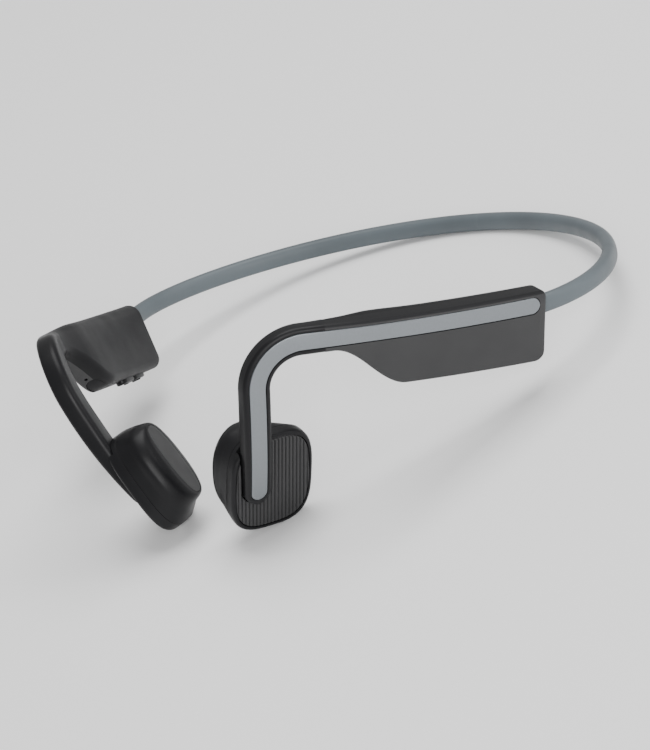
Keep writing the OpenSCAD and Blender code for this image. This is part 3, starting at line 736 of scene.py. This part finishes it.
def plate_faces(wide, rows):
    """Faces of a closed plate: the ribbed grid, the flat grid behind it and the four edges."""
    back = wide * (rows + 1)
    faces = []
    for i in range(wide - 1):
        for j in range(rows):
            a, b = i * (rows + 1) + j, (i + 1) * (rows + 1) + j
            faces.append((a, b, b + 1, a + 1))
            faces.append((back + a, back + a + 1, back + b + 1, back + b))
        for j, flip in ((0, False), (rows, True)):
            a, b = i * (rows + 1) + j, (i + 1) * (rows + 1) + j
            face = (a, back + a, back + b, b)
            faces.append(tuple(reversed(face)) if flip else face)
    for i, flip in ((0, True), (wide - 1, False)):
        for j in range(rows):
            a = i * (rows + 1) + j
            face = (a, back + a, back + a + 1, a + 1)
            faces.append(tuple(reversed(face)) if flip else face)
    return faces


def build_ribbed_plate(name, back_z, side):
    """The ribbed face: upright round ribs on a plate with the hook's bed cut out of its upper edge."""
    reach = max(x for x, _ in PLATE_EDGE) - 0.01
    slot_r = HOOK_W / 2 + HOOK_GAP
    rows = 60
    columns = rib_columns(reach, slot_r)
    verts = plate_top(columns, rows, reach, slot_r)
    verts += [(x, y, back_z) for x, y, _ in verts]
    points = place_rings([verts], DRIVER)[0]
    return make_mesh(name, points, plate_faces(len(columns), rows), side, 50.0)


def build_transducers():
    for name, side in (("left", 1), ("right", -1)):
        build_rim(name, side)
        build_housing(name, side)
        build_pad(name, side)
    button = build_ribbed_plate("left_ribbed_button", BUTTON_BACK_Z, 1)
    finish_piece(button, "ribbed_plastic", "multifunction_button", "multifunction_button")
    cover = build_ribbed_plate("right_ribbed_face", COVER_BACK_Z, -1)
    finish_piece(cover, "ribbed_plastic", "right_side", "right_ribbed_cover")


# ---- Controls on the right pod ----

def turned_quarter(place):
    o, ax, ay, az = place
    return o, ay, -ax, az


def build_keys():
    for s, body, plus in ((KEY_S[0], "volume_up_key", True), (KEY_S[1], "volume_down_key", False)):
        place = on_underside(s)
        key = pill(body + "_cap", place, KEY_LEN, KEY_W, -1.4, KEY_PROUD, 0.45, -1, 0.03)
        finish_piece(key, "key_rubber", body, body)
        low, high = KEY_PROUD - 0.2, KEY_PROUD + 0.3
        bar = pill(body + "_bar", place, 2.6, 0.6, low, high, 0.2, -1)
        finish_piece(bar, "key_rubber", body)
        if plus:
            cross_bar = pill(body + "_cross_bar", turned_quarter(place), 2.4, 0.6, low, high, 0.2, -1)
            finish_piece(cross_bar, "key_rubber", body)


def build_port_cover():
    cover = flap("port_flap", 0.0, -1.0, -0.05, COVER_EDGE)
    finish_piece(cover, "cover_silicone", "port_cover", "port_cover")
    o, x, y, z = shifted(on_underside(PORT_S, PORT_SLOPE), 0.3, PORT_N)
    plug = pill("port_flap_plug", (o, x, -y, -z), PLUG_LEN, PLUG_W, 0.9, 2.9, 0.3, -1)
    finish_piece(plug, "cover_silicone", "port_cover")


# ---- Neckband ----

def band_curve():
    """The band's start in the left pod, and the directions back and up in the band's plane."""
    p, t, n, up = spine(0)
    start = p + up * BAND_ROOT_UP + n * BAND_ROOT_OUT + t * BAND_ROOT_AHEAD
    slope = math.asin((start[2] - BAND_H * BAND_REST) / BAND_REACH)
    back = np.array((0, math.cos(slope), -math.sin(slope)))
    rise = np.array((0, math.sin(slope), math.cos(slope)))
    return start, back, rise


BAND_START, BAND_BACK, BAND_UP = band_curve()
BAND_DIR = np.array((sin(BAND_FLARE), 0, 0)) + BAND_BACK * cos(BAND_FLARE)


def band_point(t):
    """Point of the left half, from the pod at t = 0 to the rearmost point at t = 1."""
    a, d = np.array((BAND_START[0], 0.0)), np.array((0.0, BAND_REACH))
    b = a + SIDE_PULL * np.array((sin(BAND_FLARE), cos(BAND_FLARE)))
    c = d + np.array((REAR_PULL, 0.0))
    q = a * (1 - t) ** 3 + b * 3 * t * (1 - t) ** 2 + c * 3 * t * t * (1 - t) + d * t ** 3
    return np.array((q[0], BAND_START[1], BAND_START[2])) + BAND_BACK * q[1]


def band_rings(rw, rh, lift, power, steps, sides, tail=0.0):
    """Rings round the left half of the band, lifted off its middle, with a straight tail into the pod."""
    rings = []
    for i in range(steps + 1):
        t, e = i / steps, 0.001
        ahead = unit(band_point(min(t + e, 1)) - band_point(max(t - e, 0)))
        if i == steps:
            ahead = np.array((-1.0, 0, 0))
        out = np.cross(ahead, BAND_UP)
        points = []
        for j in range(sides):
            c, s = math.cos(2 * math.pi * j / sides), math.sin(2 * math.pi * j / sides)
            points.append(band_point(t) + out * rw * math.copysign(abs(c) ** power, c)
                          + BAND_UP * (lift + rh * math.copysign(abs(s) ** power, s)))
        rings.append(points)
    if tail:
        rings.insert(0, [p - BAND_DIR * tail for p in rings[0]])
    return rings


def build_band():
    for name, side in (("left", 1), ("right", -1)):
        sleeve = loft(name + "_band_half", band_rings(BAND_W / 2, BAND_H / 2, 0, 0.8, 140, 48), side)
        wire_rings = band_rings(WIRE_D / 2, WIRE_D / 2, -WIRE_OFFSET, 1, 80, 12, 2.0)
        wire = loft(name + "_band_wire", wire_rings, side)
        lead_rings = band_rings(LEAD_D / 2, LEAD_D / 2, WIRE_OFFSET, 1, 80, 12, 2.0)
        lead = loft(name + "_band_lead", lead_rings, side)
        for piece, slot_name, node in ((sleeve, "band_silicone", "neckband_sleeve"),
                                       (wire, "steel", "neckband_core_wire"),
                                       (lead, "copper", "neckband_lead")):
            finish_piece(piece, slot_name, None, node)
            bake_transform(piece)


# ---- Studio ----

CAMERA_AZIMUTH, CAMERA_ELEVATION, CAMERA_ROLL = 46.8, 25.86, -26.89
CAMERA_DISTANCE = 1.0
CAMERA_AIM = (0.00871, -0.01597, 0.01337)
CAMERA_LENS = 201.6


def add_camera():
    az, el, roll = (math.radians(a) for a in (CAMERA_AZIMUTH, CAMERA_ELEVATION, CAMERA_ROLL))
    back = Vector((math.sin(az) * math.cos(el), -math.cos(az) * math.cos(el), math.sin(el)))
    right = Vector((math.cos(az), math.sin(az), 0))
    up = back.cross(right)
    r = right * math.cos(roll) + up * math.sin(roll)
    u = up * math.cos(roll) - right * math.sin(roll)
    data = bpy.data.cameras.new("camera")
    data.sensor_width = 36
    data.sensor_fit = "AUTO"
    data.lens = CAMERA_LENS
    data.clip_start = 0.01
    camera = bpy.data.objects.new("camera", data)
    spot = Vector(CAMERA_AIM) + back * CAMERA_DISTANCE
    camera.matrix_world = Matrix(((r.x, u.x, back.x, spot.x), (r.y, u.y, back.y, spot.y),
                                  (r.z, u.z, back.z, spot.z), (0, 0, 0, 1)))
    bpy.context.scene.collection.objects.link(camera)
    bpy.context.scene.camera = camera


def add_light(name, place, aim, size, power):
    data = bpy.data.lights.new(name, "AREA")
    data.shape = "RECTANGLE"
    data.size, data.size_y = size
    data.energy = power
    light = bpy.data.objects.new(name, data)
    light.location = place
    light.rotation_euler = (Vector(aim) - Vector(place)).to_track_quat("-Z", "Y").to_euler()
    bpy.context.scene.collection.objects.link(light)


def add_studio():
    mesh = bpy.data.meshes.new("floor")
    mesh.from_pydata([(-4, -4, 0), (4, -4, 0), (4, 4, 0), (-4, 4, 0)], [], [(0, 1, 2, 3)])
    floor = bpy.data.objects.new("floor", mesh)
    bpy.context.scene.collection.objects.link(floor)
    material, _, _ = new_material("floor_paint", (0.96, 0.96, 0.96), 0.8)
    mesh.materials.append(material)
    world = bpy.data.worlds.new("studio")
    world.use_nodes = True
    world.node_tree.nodes["Background"].inputs["Color"].default_value = (1, 1, 1, 1)
    world.node_tree.nodes["Background"].inputs["Strength"].default_value = 0.5
    bpy.context.scene.world = world
    add_light("top_softbox", (0.1, 0.35, 1.2), (0, 0, 0), (1.0, 0.8), 14)
    add_light("front_softbox", (0.95, -0.85, 0.5), (0, 0, 0.02), (0.6, 0.6), 12)
    add_light("right_softbox", (1.0, 0.45, 0.4), (0.03, 0, 0.02), (0.4, 0.7), 3)


dress_frame_nodes()
build_pods()
for side_name, side_sign in (("left", 1), ("right", -1)):
    build_hook(side_name, side_sign)
    build_strip(side_name, side_sign)
build_transducers()
build_keys()
build_port_cover()
build_band()
add_camera()
add_studio()
